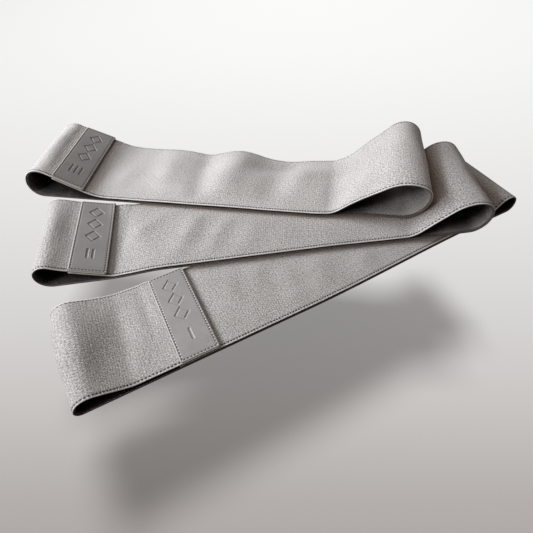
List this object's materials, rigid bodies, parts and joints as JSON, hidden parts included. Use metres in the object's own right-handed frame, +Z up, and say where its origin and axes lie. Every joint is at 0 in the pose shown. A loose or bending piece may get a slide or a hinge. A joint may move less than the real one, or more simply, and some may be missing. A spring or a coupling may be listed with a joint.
{
  "type": "resistance band",
  "caption": "Set of wide woven fabric loop bands stacked in a fan, each an elastic strip closed by a lapped seam under a sewn leather patch.",
  "frame": {"origin": "middle of the bottom of the whole set, on the surface it lies on", "axes": "+X along the medium band from its patch end to its far fold, +Z up, +Y towards the heavy band"},
  "size_m": [0.4278, 0.295, 0.0518],
  "materials": {
    "band_fabric": "heathered fine weave, matt",
    "lining_fabric": "dark ribbed knit with rubber in it",
    "rubber_thread": "matt",
    "sewing_thread": "twisted polyester thread",
    "patch_leather": "smooth satin with pressed marks"
  },
  "bodies": {
    "heavy_far_end": {"heavy_face_fabric_far_end": "band_fabric", "heavy_rubber_threads_far_end": "rubber_thread", "heavy_grip_lining_far_end": "lining_fabric", "heavy_edge_stitching_far_end": "sewing_thread"},
    "heavy_patch_end": {"heavy_face_fabric_patch_end": "band_fabric", "heavy_rubber_threads_patch_end": "rubber_thread", "heavy_grip_lining_patch_end": "lining_fabric", "heavy_edge_stitching_patch_end": "sewing_thread", "heavy_lap_seam": "sewing_thread", "heavy_label_patch": "patch_leather", "heavy_patch_stitching": "sewing_thread"},
    "medium_far_end": {"medium_face_fabric_far_end": "band_fabric", "medium_rubber_threads_far_end": "rubber_thread", "medium_grip_lining_far_end": "lining_fabric", "medium_edge_stitching_far_end": "sewing_thread"},
    "medium_patch_end": {"medium_face_fabric_patch_end": "band_fabric", "medium_rubber_threads_patch_end": "rubber_thread", "medium_grip_lining_patch_end": "lining_fabric", "medium_edge_stitching_patch_end": "sewing_thread", "medium_lap_seam": "sewing_thread", "medium_label_patch": "patch_leather", "medium_patch_stitching": "sewing_thread"},
    "light_far_end": {"light_face_fabric_far_end": "band_fabric", "light_rubber_threads_far_end": "rubber_thread", "light_grip_lining_far_end": "lining_fabric", "light_edge_stitching_far_end": "sewing_thread"},
    "light_patch_end": {"light_face_fabric_patch_end": "band_fabric", "light_rubber_threads_patch_end": "rubber_thread", "light_grip_lining_patch_end": "lining_fabric", "light_edge_stitching_patch_end": "sewing_thread", "light_lap_seam": "sewing_thread", "light_label_patch": "patch_leather", "light_patch_stitching": "sewing_thread"}
  },
  "joints": [
    {"name": "light_stretch", "type": "slide", "parent": "light_far_end", "child": "light_patch_end", "axis": [-0.9423, -0.3347, 0], "range_m": [0, 0.2]},
    {"name": "medium_lift", "type": "slide", "parent": "light_far_end", "child": "medium_far_end", "axis": [0, 0, 1], "range_m": [0, 0.3]},
    {"name": "medium_stretch", "type": "slide", "parent": "medium_far_end", "child": "medium_patch_end", "axis": [-1, 0, 0], "range_m": [0, 0.2]},
    {"name": "heavy_lift", "type": "slide", "parent": "medium_far_end", "child": "heavy_far_end", "axis": [0, 0, 1], "range_m": [0, 0.3]},
    {"name": "heavy_stretch", "type": "slide", "parent": "heavy_far_end", "child": "heavy_patch_end", "axis": [-0.9603, 0.279, 0], "range_m": [0, 0.2]}
  ]
}
